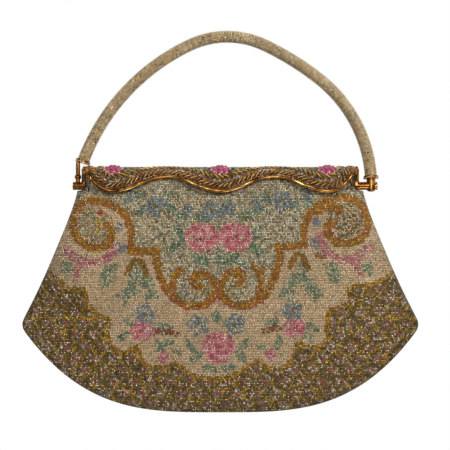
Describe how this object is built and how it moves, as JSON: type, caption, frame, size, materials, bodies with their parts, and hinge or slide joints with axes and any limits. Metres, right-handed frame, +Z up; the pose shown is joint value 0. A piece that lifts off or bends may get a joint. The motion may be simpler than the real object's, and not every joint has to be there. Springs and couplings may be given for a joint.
{
  "type": "beaded purse",
  "caption": "Beaded evening purse with a floral scroll pouch, a hinged gilt frame trimmed with bead ropes and roses, and a swinging bead-wrapped handle.",
  "frame": {"origin": "centre of the bounding box in plan, on the table the purse lies on", "axes": "+X across the purse to the right as seen from the front, +Y from the pouch towards the handle, +Z up out of the front"},
  "size_m": [0.2392, 0.2306, 0.0242],
  "materials": {
    "gilt_metal": "worn gilt",
    "silver_beads": "silver-lined seed beads",
    "copper_beads": "copper-lined seed beads",
    "olive_beads": "olive and gold seed beads",
    "pink_beads": "pink seed beads",
    "beaded_cloth": "cloth covered with rows of seed beads in a floral scroll pattern",
    "handle_beads": "cord wrapped with strung seed beads",
    "lining_satin": "satin",
    "spring_steel": "plain"
  },
  "bodies": {
    "back": {"back_frame": "gilt_metal", "back_bead_strip": "silver_beads", "back_lower_rope": "copper_beads", "back_upper_rope": "olive_beads", "back_roses": "pink_beads", "front_panel": "beaded_cloth", "back_panel": "beaded_cloth", "lining": "lining_satin", "left_stud": "gilt_metal", "right_stud": "gilt_metal", "left_hinge_pin": "gilt_metal", "right_hinge_pin": "gilt_metal", "catch_tongue": "spring_steel"},
    "front": {"front_frame": "gilt_metal", "front_bead_strip": "silver_beads", "front_lower_rope": "copper_beads", "front_upper_rope": "olive_beads", "front_roses": "pink_beads", "catch_leaf": "spring_steel"},
    "handle": {"handle": "handle_beads", "left_elbow": "gilt_metal", "right_elbow": "gilt_metal"}
  },
  "joints": [
    {"name": "frame_open", "type": "hinge", "parent": "back", "child": "front", "pos_m": [0, -0.00677, 0.012], "axis": [1, 0, 0], "range_deg": [0, 70], "deforming": ["front_panel", "lining", "catch_leaf"]},
    {"name": "handle_swing", "type": "hinge", "parent": "back", "child": "handle", "pos_m": [0, 0.02123, 0.012], "axis": [1, 0, 0], "range_deg": [-90, 90]}
  ]
}
